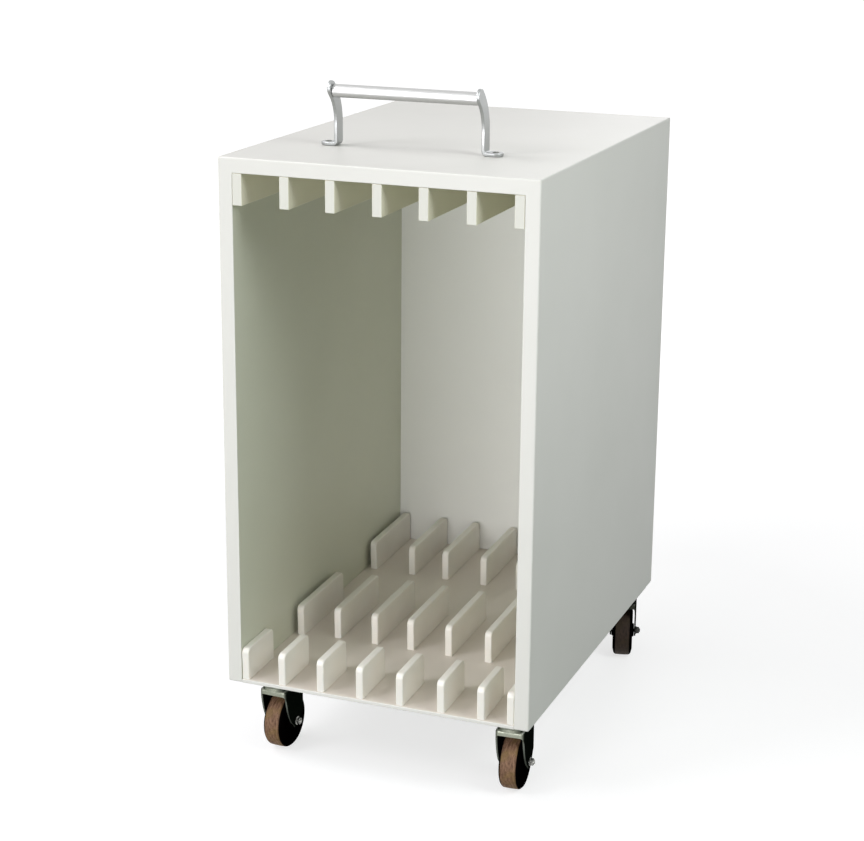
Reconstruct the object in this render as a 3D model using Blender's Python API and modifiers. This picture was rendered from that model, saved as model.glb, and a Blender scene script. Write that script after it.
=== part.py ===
"""A stencil storage trolley: a white cabinet, open at the front, that holds framed stencils upright
between ceiling rails and floor dividers. It rolls on four swivel casters and has a bar handle on top.

Lengths are in metres. +Z is up and the open front faces -Y. The origin is on the ground, under the
middle of the whole object's box. Inside the cabinet, places are measured from the outer corner at its
front, left and underside, which is where the cabinet empty stands.
"""

import math

import bmesh
import bpy

# Clearances
FIT_GAP = 0.0003
CUT_OVERRUN = 0.005

# Cabinet boards
CABINET_WIDTH = 0.400
CABINET_DEPTH = 0.5435
CABINET_HEIGHT = 0.6647
BOARD_THICKNESS = 0.0186
OUTER_EDGE_RADIUS = 0.0022
FLOOR_FRONT_THICKNESS = 0.0047
FLOOR_BACK_THICKNESS = 0.0204

# Ceiling rails. Their places are shares of the run from the left wall to the right wall
RAIL_THICKNESS = 0.0119
RAIL_HEIGHT = 0.0380
RAIL_EDGE_RADIUS = 0.0006
RAIL_PLACE_SHARES = (0, 0.1735, 0.3398, 0.5078, 0.6713, 0.8374, 1)

# Floor dividers. Each row has its places as shares of the same run
DIVIDER_THICKNESS = 0.0098
DIVIDER_HEIGHT = 0.0415
DIVIDER_CORNER_RADIUS = 0.0070
DIVIDER_EDGE_RADIUS = 0.0010
FRONT_ROW_SETBACK = 0.0015
FRONT_ROW_LENGTH = 0.0720
FRONT_ROW_SHARES = (0, 0.142, 0.291, 0.441, 0.592, 0.745, 0.892, 1)
MIDDLE_ROW_SETBACK = 0.1575
MIDDLE_ROW_LENGTH = 0.1300
MIDDLE_ROW_SHARES = (0.020, 0.161, 0.311, 0.454, 0.604, 0.758, 0.907, 1)
MIDDLE_ROW_FIRST_ADVANCE = 0.0080
BACK_ROW_LENGTH = 0.1290
BACK_ROW_SHARES = (0.019, 0.186, 0.330, 0.492, 0.641, 0.788, 0.919, 1)

# Handle: two curved flat bars, each on a foot turned outwards, with a tube between them
HANDLE_SIDE_INSET = 0.0955
HANDLE_SETBACK = 0.1345
HANDLE_SPAN = 0.1895
HANDLE_BAR_THICKNESS = 0.0042
HANDLE_BAR_WIDTH = 0.0180
HANDLE_FOOT_LENGTH = 0.0200
HANDLE_STRAIGHT_HEIGHT = 0.0280
HANDLE_TUBE_HEIGHT = 0.0680
HANDLE_TUBE_ADVANCE = 0.0170
HANDLE_TUBE_DIAMETER = 0.0160
HANDLE_TUBE_WALL = 0.0015
HANDLE_TIP_LENGTH = 0.0050

# Caster plate, swivel head and kingpin
PLATE_WIDTH = 0.0500
PLATE_LENGTH = 0.0600
PLATE_THICKNESS = 0.0030
PLATE_CORNER_RADIUS = 0.0060
HEAD_RADIUS = 0.0180
HEAD_RIM_DEPTH = 0.0060
HEAD_TAPER_DEPTH = 0.0050
NECK_RADIUS = 0.0115
KINGPIN_RADIUS = 0.0050
RIVET_RADIUS = 0.0090
RIVET_THICKNESS = 0.0025

# Caster fork, bent from sheet steel. Heights are measured down from the cabinet's underside
FORK_CROWN_DROP = 0.0187
FORK_WIDTH = 0.0368
FORK_SHEET = 0.0022
FORK_FRONT_REACH = 0.0123
FORK_REAR_REACH = 0.0360
FORK_LIP_HEIGHT = 0.0075
FORK_REAR_EDGE_HEIGHT = 0.0390
FORK_KNEE_SETBACK = 0.0085
FORK_KNEE_DROP = 0.0500
FORK_TIP_RADIUS = 0.0085
FORK_BEND_RADIUS = 0.0030
FORK_MOUTH_RADIUS = 0.0050

# Caster wheel and its axle
AXLE_DROP = 0.0696
CASTER_TRAIL = 0.0187
WHEEL_DIAMETER = 0.0716
TREAD_WIDTH = 0.0214
SHOULDER_WIDTH = 0.0242
SHOULDER_RADIUS = 0.0335
WHEEL_WIDTH = 0.0280
FLANK_RADIUS = 0.0250
HUB_RADIUS = 0.0090
BOLT_DIAMETER = 0.0050
BOLT_HEAD_THICKNESS = 0.0035
BOLT_TIP_LENGTH = 0.0014
HEX_ACROSS_FLATS = 0.0080
NUT_THICKNESS = 0.0040
NUT_FLANGE_RADIUS = 0.0056
NUT_FLANGE_THICKNESS = 0.0010

# Where each caster stands, and how it was left turned, in degrees from straight ahead
CASTER_END_INSET = 0.0430
CASTER_SIDE_INSETS = {"front_left": 0.0468, "front_right": 0.0355, "rear_left": 0.0340, "rear_right": 0.0278}
CASTER_TURNS = {"front_left": -2.6, "front_right": 3.2, "rear_left": 8.0, "rear_right": 15.2}

# Smoothness of arcs and turned shapes
ARC_STEPS = 4
FIN_ARC_STEPS = 3
TURNED_STEPS = 32
SMALL_TURNED_STEPS = 16
SHARP_ANGLE = math.radians(35)

# Places worked out from the sizes above
WHEEL_RADIUS = WHEEL_DIAMETER / 2
CASTER_HEIGHT = AXLE_DROP + WHEEL_RADIUS
INNER_LEFT = BOARD_THICKNESS
INNER_RIGHT = CABINET_WIDTH - BOARD_THICKNESS
INNER_BACK = CABINET_DEPTH - BOARD_THICKNESS
INNER_TOP = CABINET_HEIGHT - BOARD_THICKNESS
FLOOR_DEPTH = INNER_BACK - FIT_GAP
FLOOR_ANGLE = math.atan((FLOOR_BACK_THICKNESS - FLOOR_FRONT_THICKNESS) / FLOOR_DEPTH)
FORK_GAP = FORK_WIDTH - 2 * FORK_SHEET


def wheel_rear_reach(name):
    """How far back a rear wheel's tread comes, from the cabinet's front."""
    turn = math.radians(CASTER_TURNS[name])
    ahead_of_axle = CABINET_DEPTH - CASTER_END_INSET + CASTER_TRAIL * math.cos(turn)
    return ahead_of_axle + WHEEL_RADIUS * math.cos(turn) + TREAD_WIDTH / 2 * abs(math.sin(turn))


OVERALL_DEPTH = max(CABINET_DEPTH, wheel_rear_reach("rear_left"), wheel_rear_reach("rear_right"))


def clear_scene():
    for obj in list(bpy.data.objects):
        bpy.data.objects.remove(obj, do_unlink=True)


def new_collection(name):
    collection = bpy.data.collections.new(name)
    bpy.context.scene.collection.children.link(collection)
    return collection


def new_material(name, colour, roughness, metallic=0):
    material = bpy.data.materials.new(name)
    material.use_nodes = True
    shader = material.node_tree.nodes["Principled BSDF"]
    shader.inputs["Base Color"].default_value = (*colour, 1)
    shader.inputs["Roughness"].default_value = roughness
    shader.inputs["Metallic"].default_value = metallic
    material.diffuse_color = (*colour, 1)
    return material


def place(name, mesh, material, parent, location=(0, 0, 0), rotation=(0, 0, 0)):
    """One named sub-part, at a place and a turn measured from its parent."""
    mesh.materials.clear()
    mesh.materials.append(material)
    mesh.shade_smooth()
    mesh.set_sharp_from_angle(angle=SHARP_ANGLE)
    part = bpy.data.objects.new(name, mesh)
    trolley.objects.link(part)
    part.parent = parent
    part.location = location
    part.rotation_euler = rotation
    return part


def new_empty(name, parent=None, location=(0, 0, 0), rotation=(0, 0, 0)):
    empty = bpy.data.objects.new(name, None)
    empty.empty_display_size = BOARD_THICKNESS
    trolley.objects.link(empty)
    empty.parent = parent
    empty.location = location
    empty.rotation_euler = rotation
    return empty


def tidy(mesh):
    """Weld a mesh's loose seams and turn its faces outwards."""
    shape = bmesh.new()
    shape.from_mesh(mesh)
    bmesh.ops.remove_doubles(shape, verts=shape.verts, dist=FIT_GAP / 100)
    bmesh.ops.recalc_face_normals(shape, faces=shape.faces)
    shape.to_mesh(mesh)
    shape.free()
    return mesh


def evaluated_mesh(obj):
    """The mesh that a helper object's curve or modifiers make. The helper is removed."""
    graph = bpy.context.evaluated_depsgraph_get()
    mesh = bpy.data.meshes.new_from_object(obj.evaluated_get(graph))
    bpy.data.objects.remove(obj, do_unlink=True)
    return tidy(mesh)


def new_helper(name, data):
    helper = bpy.data.objects.new(name, data)
    helpers.objects.link(helper)
    helper.hide_render = True
    helper.display_type = "WIRE"
    return helper


def box_mesh(name, low, high):
    """A box between two corners."""
    shape = bmesh.new()
    bmesh.ops.create_cube(shape, size=1)
    for vertex in shape.verts:
        vertex.co = [(a + b) / 2 + c * (b - a) for a, b, c in zip(low, high, vertex.co)]
    mesh = bpy.data.meshes.new(name)
    shape.to_mesh(mesh)
    shape.free()
    return mesh


def ease_edges(mesh, radius, is_eased, segments=2):
    """Round the edges whose two ends pass the test."""
    shape = bmesh.new()
    shape.from_mesh(mesh)
    edges = [edge for edge in shape.edges if is_eased(edge.verts[0].co, edge.verts[1].co)]
    bmesh.ops.bevel(shape, geom=edges, offset=radius, segments=segments, profile=0.5, affect="EDGES")
    shape.to_mesh(mesh)
    shape.free()
    return mesh


def extruded_mesh(name, outlines, thickness):
    """Outlines in the XY plane, the later ones holes in the first, given a thickness across the plane."""
    curve = bpy.data.curves.new(name, "CURVE")
    curve.dimensions = "2D"
    curve.fill_mode = "BOTH"
    curve.extrude = thickness / 2
    for outline in outlines:
        spline = curve.splines.new("POLY")
        spline.points.add(len(outline) - 1)
        for point, (x, y) in zip(spline.points, outline):
            point.co = (x, y, 0, 1)
        spline.use_cyclic_u = True
    return evaluated_mesh(new_helper(name, curve))


def turned_mesh(name, profile, steps, closed=False):
    """A profile of (radius, height) points, run from top to bottom on its outer side and turned about Z."""
    count = len(profile)
    edges = [(i, (i + 1) % count) for i in range(count if closed else count - 1)]
    mesh = bpy.data.meshes.new(name)
    mesh.from_pydata([(radius, 0, height) for radius, height in profile], edges, [])
    helper = new_helper(name, mesh)
    screw = helper.modifiers.new("turn", "SCREW")
    screw.axis = "Z"
    screw.angle = math.tau
    screw.steps = screw.render_steps = steps
    screw.use_merge_vertices = True
    screw.merge_threshold = FIT_GAP / 100
    return evaluated_mesh(helper)


def combined_mesh(name, base, tools, operation):
    """The base mesh cut by, or joined with, the tools, which are (mesh, location, rotation)."""
    body = new_helper(name, base)
    cutters = []
    for number, (mesh, location, rotation) in enumerate(tools):
        cutter = new_helper(f"{name}_tool_{number}", mesh)
        cutter.location = location
        cutter.rotation_euler = rotation
        cutters.append(cutter)
        boolean = body.modifiers.new(f"tool_{number}", "BOOLEAN")
        boolean.operation = operation
        boolean.solver = "EXACT"
        boolean.object = cutter
    mesh = evaluated_mesh(body)
    for cutter in cutters:
        bpy.data.objects.remove(cutter, do_unlink=True)
    return mesh


def arc(centre, radius, start, end, steps=ARC_STEPS):
    """Points on an arc, from one angle to another."""
    turns = [start + (end - start) * i / steps for i in range(steps + 1)]
    return [(centre[0] + radius * math.cos(t), centre[1] + radius * math.sin(t)) for t in turns]


def circle(radius, steps=SMALL_TURNED_STEPS):
    return arc((0, 0), radius, 0, math.tau, steps)[:-1]


def hexagon(across_flats):
    return circle(across_flats / 2 / math.cos(math.pi / 6), 6)


# An outline drawn in X and Y stands up lengthwise in the cabinet: its X runs back and its Y runs up
UPRIGHT = (math.pi / 2, 0, math.pi / 2)
# A shape turned about Z lies across, with its axis from left to right
ACROSS = (0, math.pi / 2, 0)


def panel_mesh(name, low, high):
    """A board between two corners of the cabinet, with the cabinet's outer edges rounded on it."""
    outside = ((0, CABINET_WIDTH), (0, CABINET_DEPTH), (0, CABINET_HEIGHT))

    def on_cabinet_edge(start, end):
        shared = [
            side
            for axis, sides in enumerate(outside)
            for side in sides
            if abs(start[axis] - side) < FIT_GAP / 2 and abs(end[axis] - side) < FIT_GAP / 2
        ]
        return len(shared) > 1

    return ease_edges(box_mesh(name, low, high), OUTER_EDGE_RADIUS, on_cabinet_edge)


def make_cabinet(cabinet, lacquer):
    """The side boards stand full height, and the top, back and floor fit between them."""
    left, right = INNER_LEFT + FIT_GAP, INNER_RIGHT - FIT_GAP
    boards = {
        "left_side_panel": ((0, 0, 0), (INNER_LEFT, CABINET_DEPTH, CABINET_HEIGHT)),
        "right_side_panel": ((INNER_RIGHT, 0, 0), (CABINET_WIDTH, CABINET_DEPTH, CABINET_HEIGHT)),
        "top_panel": ((left, 0, INNER_TOP), (right, CABINET_DEPTH, CABINET_HEIGHT)),
        "back_panel": ((left, INNER_BACK, 0), (right, CABINET_DEPTH, INNER_TOP - FIT_GAP)),
    }
    for name, (low, high) in boards.items():
        place(name, panel_mesh(name, low, high), lacquer, cabinet)

    floor = box_mesh("floor_panel", (left, 0, 0), (right, FLOOR_DEPTH, FLOOR_FRONT_THICKNESS))
    for vertex in floor.vertices:
        if vertex.co.y > 0 and vertex.co.z > 0:
            vertex.co.z = FLOOR_BACK_THICKNESS
    place("floor_panel", floor, lacquer, cabinet)


def place_across(share, thickness):
    """The left side of an upright board, at its share of the run between the cabinet's walls."""
    run = INNER_RIGHT - INNER_LEFT - thickness - 2 * FIT_GAP
    return INNER_LEFT + FIT_GAP + share * run


def make_rails(cabinet, white):
    """Seven rails under the top, from the cabinet's front to its back."""
    top = INNER_TOP - FIT_GAP
    rail = box_mesh("top_rail", (0, 0, top - RAIL_HEIGHT), (RAIL_THICKNESS, INNER_BACK - FIT_GAP, top))
    ease_edges(rail, RAIL_EDGE_RADIUS, lambda start, end: True, segments=1)
    for number, share in enumerate(RAIL_PLACE_SHARES, start=1):
        place(f"top_rail_{number}", rail, white, cabinet, (place_across(share, RAIL_THICKNESS), 0, 0))


def divider_mesh(name, length):
    """A low fin with both its top corners rounded and its edges eased. It lies in XY, from X = 0."""
    radius = DIVIDER_CORNER_RADIUS
    top = DIVIDER_HEIGHT - radius
    outline = [(0, 0), (length, 0)]
    outline += arc((length - radius, top), radius, 0, math.pi / 2, FIN_ARC_STEPS)
    outline += arc((radius, top), radius, math.pi / 2, math.pi, FIN_ARC_STEPS)
    mesh = extruded_mesh(name, [outline], DIVIDER_THICKNESS)

    def on_side_rim(start, end):
        return start.z == end.z and start.y + end.y > 0

    return ease_edges(mesh, DIVIDER_EDGE_RADIUS, on_side_rim, segments=1)


def make_dividers(cabinet, cream):
    """Three rows of fins, standing square on the sloping floor."""
    slope = new_empty("floor_slope", cabinet, (0, 0, FLOOR_FRONT_THICKNESS), (FLOOR_ANGLE, 0, 0))
    back_row_setback = (FLOOR_DEPTH / math.cos(FLOOR_ANGLE)) - BACK_ROW_LENGTH - FIT_GAP
    rows = (
        ("front", FRONT_ROW_SETBACK, FRONT_ROW_LENGTH, FRONT_ROW_SHARES),
        ("middle", MIDDLE_ROW_SETBACK, MIDDLE_ROW_LENGTH, MIDDLE_ROW_SHARES),
        ("back", back_row_setback, BACK_ROW_LENGTH, BACK_ROW_SHARES),
    )
    for row, setback, length, shares in rows:
        fin = divider_mesh(f"divider_{row}", length)
        for number, share in enumerate(shares, start=1):
            advance = MIDDLE_ROW_FIRST_ADVANCE if (row, number) == ("middle", 1) else 0
            x = place_across(share, DIVIDER_THICKNESS) + DIVIDER_THICKNESS / 2
            place(f"divider_{row}_{number}", fin, cream, slope, (x, setback - advance, FIT_GAP), UPRIGHT)


def handle_bar_outline():
    """The bar from the side: straight up, then curved forward, with a round end past the tube."""
    half = HANDLE_BAR_WIDTH / 2
    rise = HANDLE_TUBE_HEIGHT - HANDLE_STRAIGHT_HEIGHT
    bend = (HANDLE_TUBE_ADVANCE**2 + rise**2) / (2 * HANDLE_TUBE_ADVANCE)
    lean = math.asin(rise / bend)
    centre = (-bend, HANDLE_STRAIGHT_HEIGHT)
    tip = (
        -HANDLE_TUBE_ADVANCE - HANDLE_TIP_LENGTH * math.sin(lean),
        HANDLE_TUBE_HEIGHT + HANDLE_TIP_LENGTH * math.cos(lean),
    )
    seat = HANDLE_BAR_THICKNESS / 2
    outline = [(-half, seat), (half, seat)]
    outline += arc(centre, bend + half, 0, lean)
    outline += arc(tip, half, lean, lean + math.pi, 2 * ARC_STEPS)
    outline += arc(centre, bend - half, lean, 0)
    return outline


def make_handle(cabinet, polished):
    half_bar = HANDLE_BAR_THICKNESS / 2
    half_foot = HANDLE_BAR_WIDTH / 2 - FIT_GAP
    foot_reach = half_bar + HANDLE_FOOT_LENGTH - half_foot
    bar = extruded_mesh("handle_bar", [handle_bar_outline()], HANDLE_BAR_THICKNESS)
    bar.transform(upright_matrix())
    foot_outline = [(FIT_GAP - half_bar, half_foot), (FIT_GAP - half_bar, -half_foot)]
    foot_outline += arc((foot_reach, 0), half_foot, -math.pi / 2, math.pi / 2, 2 * ARC_STEPS)
    foot = extruded_mesh("handle_foot", [foot_outline], HANDLE_BAR_THICKNESS)
    foot_place = (0, 0, half_bar)
    sides = {"left": (HANDLE_SIDE_INSET, math.pi), "right": (HANDLE_SIDE_INSET + HANDLE_SPAN, 0)}
    top = CABINET_HEIGHT + FIT_GAP
    for side, (x, turn) in sides.items():
        name = f"handle_bracket_{side}"
        bracket = combined_mesh(name, bar.copy(), [(foot.copy(), foot_place, (0, 0, turn))], "UNION")
        place(name, bracket, polished, cabinet, (x, HANDLE_SETBACK, top))

    radius = HANDLE_TUBE_DIAMETER / 2
    length = HANDLE_SPAN - HANDLE_BAR_THICKNESS - 2 * FIT_GAP
    tube = extruded_mesh("handle_tube", [circle(radius), circle(radius - HANDLE_TUBE_WALL)], length)
    middle = (
        HANDLE_SIDE_INSET + HANDLE_SPAN / 2,
        HANDLE_SETBACK - HANDLE_TUBE_ADVANCE,
        top + HANDLE_TUBE_HEIGHT,
    )
    place("handle_tube", tube, polished, cabinet, middle, ACROSS)


def upright_matrix():
    turn = bpy.data.objects.new("turn", None)
    turn.rotation_euler = UPRIGHT
    matrix = turn.rotation_euler.to_matrix().to_4x4()
    bpy.data.objects.remove(turn)
    return matrix


def caster_plate_mesh():
    """The mounting plate with the swivel head, the kingpin and the kingpin's riveted end, all fixed."""
    half_width, half_length = PLATE_WIDTH / 2, PLATE_LENGTH / 2
    plate = box_mesh(
        "caster_plate",
        (-half_width, -half_length, -FIT_GAP - PLATE_THICKNESS),
        (half_width, half_length, -FIT_GAP),
    )

    def is_corner(start, end):
        return start.x == end.x and start.y == end.y

    ease_edges(plate, PLATE_CORNER_RADIUS, is_corner, segments=ARC_STEPS)
    middle_of_plate = -FIT_GAP - PLATE_THICKNESS / 2
    rim = -FIT_GAP - PLATE_THICKNESS - HEAD_RIM_DEPTH
    crown_top = FIT_GAP - FORK_CROWN_DROP
    rivet_top = -FORK_CROWN_DROP - FORK_SHEET - FIT_GAP
    profile = (
        (0, middle_of_plate),
        (HEAD_RADIUS, middle_of_plate),
        (HEAD_RADIUS, rim),
        (NECK_RADIUS, rim - HEAD_TAPER_DEPTH),
        (NECK_RADIUS, crown_top),
        (KINGPIN_RADIUS, crown_top),
        (KINGPIN_RADIUS, rivet_top),
        (RIVET_RADIUS, rivet_top),
        (RIVET_RADIUS, rivet_top - RIVET_THICKNESS / 2),
        (KINGPIN_RADIUS, rivet_top - RIVET_THICKNESS),
        (0, rivet_top - RIVET_THICKNESS),
    )
    head = turned_mesh("swivel_head", profile, SMALL_TURNED_STEPS)
    return combined_mesh("caster_plate", plate, [(head, (0, 0, 0), (0, 0, 0))], "UNION")


def tangent_angle(centre, radius, point, side):
    """Where on a circle the tangent from an outside point touches, as an angle about the centre."""
    across, up = point[0] - centre[0], point[1] - centre[1]
    return math.atan2(up, across) + side * math.acos(radius / math.hypot(across, up))


def fork_mesh():
    """The sheet steel fork: a flat crown with a short front lip, and two arms that taper to the axle."""
    top = -FORK_CROWN_DROP
    axle = (CASTER_TRAIL, -AXLE_DROP)
    lip_corner = (-FORK_FRONT_REACH, top - FORK_LIP_HEIGHT)
    rear_corner = (FORK_REAR_REACH, top - FORK_REAR_EDGE_HEIGHT)
    knee = (FORK_KNEE_SETBACK - FORK_FRONT_REACH, -FORK_KNEE_DROP)
    front_touch = tangent_angle(axle, FORK_TIP_RADIUS, knee, 1)
    rear_touch = tangent_angle(axle, FORK_TIP_RADIUS, rear_corner, -1) + math.tau
    outline = [(-FORK_FRONT_REACH, top), lip_corner, knee]
    outline += arc(axle, FORK_TIP_RADIUS, front_touch % math.tau, rear_touch, 2 * ARC_STEPS)
    outline += [rear_corner, (FORK_REAR_REACH, top)]
    body = extruded_mesh("fork", [outline], FORK_WIDTH)
    body.transform(upright_matrix())

    def is_bend(start, end):
        outer = abs(start.x) + abs(end.x) > FORK_WIDTH - FIT_GAP and start.x == end.x
        at_crown = start.z + end.z > 2 * top - FIT_GAP
        at_front = start.y + end.y < FIT_GAP - 2 * FORK_FRONT_REACH
        return outer and (at_crown or at_front)

    ease_edges(body, FORK_BEND_RADIUS, is_bend)

    half_gap = FORK_GAP / 2
    bottom = -AXLE_DROP - FORK_TIP_RADIUS - CUT_OVERRUN
    inner_front = FORK_SHEET - FORK_FRONT_REACH
    channel = box_mesh(
        "channel",
        (-half_gap, inner_front, bottom),
        (half_gap, FORK_REAR_REACH + CUT_OVERRUN, top - FORK_SHEET),
    )
    mouth = box_mesh(
        "mouth",
        (-half_gap, -FORK_FRONT_REACH - CUT_OVERRUN, bottom),
        (half_gap, inner_front + CUT_OVERRUN, lip_corner[1]),
    )

    def is_mouth_corner(start, end):
        return start.x == end.x and start.z == end.z and start.z > bottom

    ease_edges(mouth, FORK_MOUTH_RADIUS, is_mouth_corner, segments=ARC_STEPS)
    pin_hole = extruded_mesh("pin_hole", [circle(KINGPIN_RADIUS + FIT_GAP)], 2 * CUT_OVERRUN)
    axle_hole = extruded_mesh(
        "axle_hole", [circle(BOLT_DIAMETER / 2 + FIT_GAP)], FORK_WIDTH + 2 * CUT_OVERRUN
    )
    cuts = [
        (channel, (0, 0, 0), (0, 0, 0)),
        (mouth, (0, 0, 0), (0, 0, 0)),
        (pin_hole, (0, 0, top), (0, 0, 0)),
        (axle_hole, (0, *axle), ACROSS),
    ]
    return combined_mesh("fork", body, cuts, "DIFFERENCE")


def wheel_mesh():
    """The moulded wheel, turned about its axle: a flat tread, tapered flanks and a hub that fills the fork."""
    bore = BOLT_DIAMETER / 2 + FIT_GAP
    hub = FORK_GAP / 2 - FIT_GAP
    upper = [
        (bore, hub),
        (HUB_RADIUS, hub),
        (HUB_RADIUS, WHEEL_WIDTH / 2),
        (FLANK_RADIUS, WHEEL_WIDTH / 2),
        (SHOULDER_RADIUS, SHOULDER_WIDTH / 2),
        (WHEEL_RADIUS, TREAD_WIDTH / 2),
    ]
    lower = [(radius, -height) for radius, height in reversed(upper)]
    return turned_mesh("wheel", upper + lower, TURNED_STEPS, closed=True)


def axle_bolt_mesh():
    """A hexagon bolt that lies along Z, with its head below and its shank through fork, wheel and nut."""
    under_head = -FORK_WIDTH / 2 - FIT_GAP
    tip = FORK_WIDTH / 2 + FIT_GAP + NUT_FLANGE_THICKNESS + NUT_THICKNESS + BOLT_TIP_LENGTH
    length = tip - under_head + BOLT_HEAD_THICKNESS / 2
    head = extruded_mesh("bolt_head", [hexagon(HEX_ACROSS_FLATS)], BOLT_HEAD_THICKNESS)
    shank = extruded_mesh("bolt_shank", [circle(BOLT_DIAMETER / 2)], length)
    middle_of_head = under_head - BOLT_HEAD_THICKNESS / 2
    bolt = combined_mesh("axle_bolt", head, [(shank, (0, 0, length / 2), (0, 0, 0))], "UNION")
    for vertex in bolt.vertices:
        vertex.co.z += middle_of_head
    return bolt


def axle_nut_mesh():
    """The hexagon nut, with the round flange that bears on the fork."""
    seat = FORK_WIDTH / 2 + FIT_GAP
    flange = extruded_mesh("nut_flange", [circle(NUT_FLANGE_RADIUS)], NUT_FLANGE_THICKNESS)
    body = extruded_mesh("nut_body", [hexagon(HEX_ACROSS_FLATS)], NUT_THICKNESS + NUT_FLANGE_THICKNESS)
    hole = extruded_mesh("nut_hole", [circle(BOLT_DIAMETER / 2 + FIT_GAP)], 2 * (NUT_THICKNESS + CUT_OVERRUN))
    blank = combined_mesh("nut_blank", flange, [(body, (0, 0, NUT_THICKNESS / 2), (0, 0, 0))], "UNION")
    nut = combined_mesh("axle_nut", blank, [(hole, (0, 0, 0), (0, 0, 0))], "DIFFERENCE")
    for vertex in nut.vertices:
        vertex.co.z += seat + NUT_FLANGE_THICKNESS / 2
    return nut


def make_casters(cabinet, zinc, bright, phenolic):
    """Four swivel casters. Each has an empty on its kingpin's axis, which its turning pieces hang from."""
    plate, fork, wheel = caster_plate_mesh(), fork_mesh(), wheel_mesh()
    bolt, nut = axle_bolt_mesh(), axle_nut_mesh()
    for name, inset in CASTER_SIDE_INSETS.items():
        end, side = name.split("_")
        x = inset if side == "left" else CABINET_WIDTH - inset
        y = CASTER_END_INSET if end == "front" else CABINET_DEPTH - CASTER_END_INSET
        place(f"caster_{name}_plate", plate, zinc, cabinet, (x, y, 0))
        turn = (0, 0, math.radians(CASTER_TURNS[name]))
        swivel = new_empty(f"caster_{name}_swivel", cabinet, (x, y, 0), turn)
        place(f"caster_{name}_fork", fork, zinc, swivel)
        axle = (0, CASTER_TRAIL, -AXLE_DROP)
        place(f"caster_{name}_wheel", wheel, phenolic, swivel, axle, ACROSS)
        place(f"caster_{name}_axle_bolt", bolt, bright, swivel, axle, ACROSS)
        place(f"caster_{name}_axle_nut", nut, bright, swivel, axle, ACROSS)


clear_scene()
trolley = new_collection("stencil_storage_trolley")
helpers = new_collection("cutters")
white_lacquer = new_material("white_lacquer", (0.78, 0.78, 0.75), 0.45)
white_rail = new_material("white_rail", (0.78, 0.77, 0.73), 0.50)
cream_fin = new_material("cream_fin", (0.80, 0.76, 0.70), 0.50)
polished_steel = new_material("polished_steel", (0.72, 0.73, 0.73), 0.20, 1)
zinc_steel = new_material("zinc_steel", (0.42, 0.44, 0.42), 0.35, 1)
bright_steel = new_material("bright_steel", (0.70, 0.70, 0.68), 0.25, 1)
brown_phenolic = new_material("brown_phenolic", (0.20, 0.11, 0.07), 0.55)
cabinet_corner = new_empty("cabinet", None, (-CABINET_WIDTH / 2, -OVERALL_DEPTH / 2, CASTER_HEIGHT))
make_cabinet(cabinet_corner, white_lacquer)
make_rails(cabinet_corner, white_rail)
make_dividers(cabinet_corner, cream_fin)
make_handle(cabinet_corner, polished_steel)
make_casters(cabinet_corner, zinc_steel, bright_steel, brown_phenolic)
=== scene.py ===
# %% [markdown]
# # A stencil storage trolley, dressed over its CAD model
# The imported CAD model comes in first, as a frame that never moves. Each step below then makes one kind of
# piece or one finish in mesh code, set exactly where the frame says. Lengths are in metres, +Z is up and
# the cabinet's open front faces -Y.

# %% Load the frame
import math

import bmesh
import bpy
from mathutils import Matrix, Vector


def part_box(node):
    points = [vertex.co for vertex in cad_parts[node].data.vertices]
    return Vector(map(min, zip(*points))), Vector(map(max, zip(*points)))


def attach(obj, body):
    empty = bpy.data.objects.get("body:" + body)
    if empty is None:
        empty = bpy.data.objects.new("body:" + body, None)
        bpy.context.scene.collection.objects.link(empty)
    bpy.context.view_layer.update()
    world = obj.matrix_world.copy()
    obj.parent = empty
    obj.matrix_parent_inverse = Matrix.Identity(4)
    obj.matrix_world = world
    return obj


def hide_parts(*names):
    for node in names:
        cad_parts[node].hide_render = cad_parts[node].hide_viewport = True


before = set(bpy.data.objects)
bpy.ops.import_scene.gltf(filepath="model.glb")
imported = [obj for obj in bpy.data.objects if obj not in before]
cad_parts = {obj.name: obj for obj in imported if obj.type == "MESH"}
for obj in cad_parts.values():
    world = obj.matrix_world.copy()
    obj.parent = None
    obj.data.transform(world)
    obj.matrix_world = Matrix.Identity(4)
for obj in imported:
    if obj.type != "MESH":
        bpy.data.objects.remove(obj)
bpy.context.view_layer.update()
MM = 0.001

# %% [markdown]
# ## The camera
# The photograph was taken from the front right, a little above the handle, with a short telephoto lens. Its
# place and three angles were solved from the cabinet's corners, so the render lines up with it.

# %% Camera
CAMERA_PLACE = Vector((0.8947, -2.37948, 1.1470))
YAW, PITCH, ROLL = (math.radians(angle) for angle in (21.3606, -16.4853, 0.5017))
SENSOR_WIDTH, LENS = 36, 84.28
aim = Matrix.Rotation(YAW, 4, "Z") @ Matrix.Rotation(math.pi / 2 + PITCH, 4, "X")
camera = bpy.data.objects.new("camera", bpy.data.cameras.new("camera"))
camera.data.sensor_width = SENSOR_WIDTH
camera.data.lens = LENS
camera.matrix_world = Matrix.Translation(CAMERA_PLACE) @ aim @ Matrix.Rotation(ROLL, 4, "Z")
bpy.context.scene.collection.objects.link(camera)
bpy.context.scene.camera = camera
bpy.context.scene.view_settings.view_transform = "Standard"
print("camera lens:", camera.data.lens, "mm")

# %% [markdown]
# ## Helpers for finishes
# Colours are picked as sRGB hex values, as on a paint chart, but shaders work in linear light, so one
# function turns one into the other. The second adds a node, sets it up and wires it in one call, and the
# short ones after it make the kinds of node that most finishes need.

# %% Colour and node helpers
def linear(hex_colour, alpha=1.0):
    """An sRGB hex colour as linear red, green, blue and alpha."""
    shares = [int(hex_colour[i:i + 2], 16) / 255 for i in (1, 3, 5)]
    return [s / 12.92 if s <= 0.04045 else ((s + 0.055) / 1.055) ** 2.4 for s in shares] + [alpha]


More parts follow.
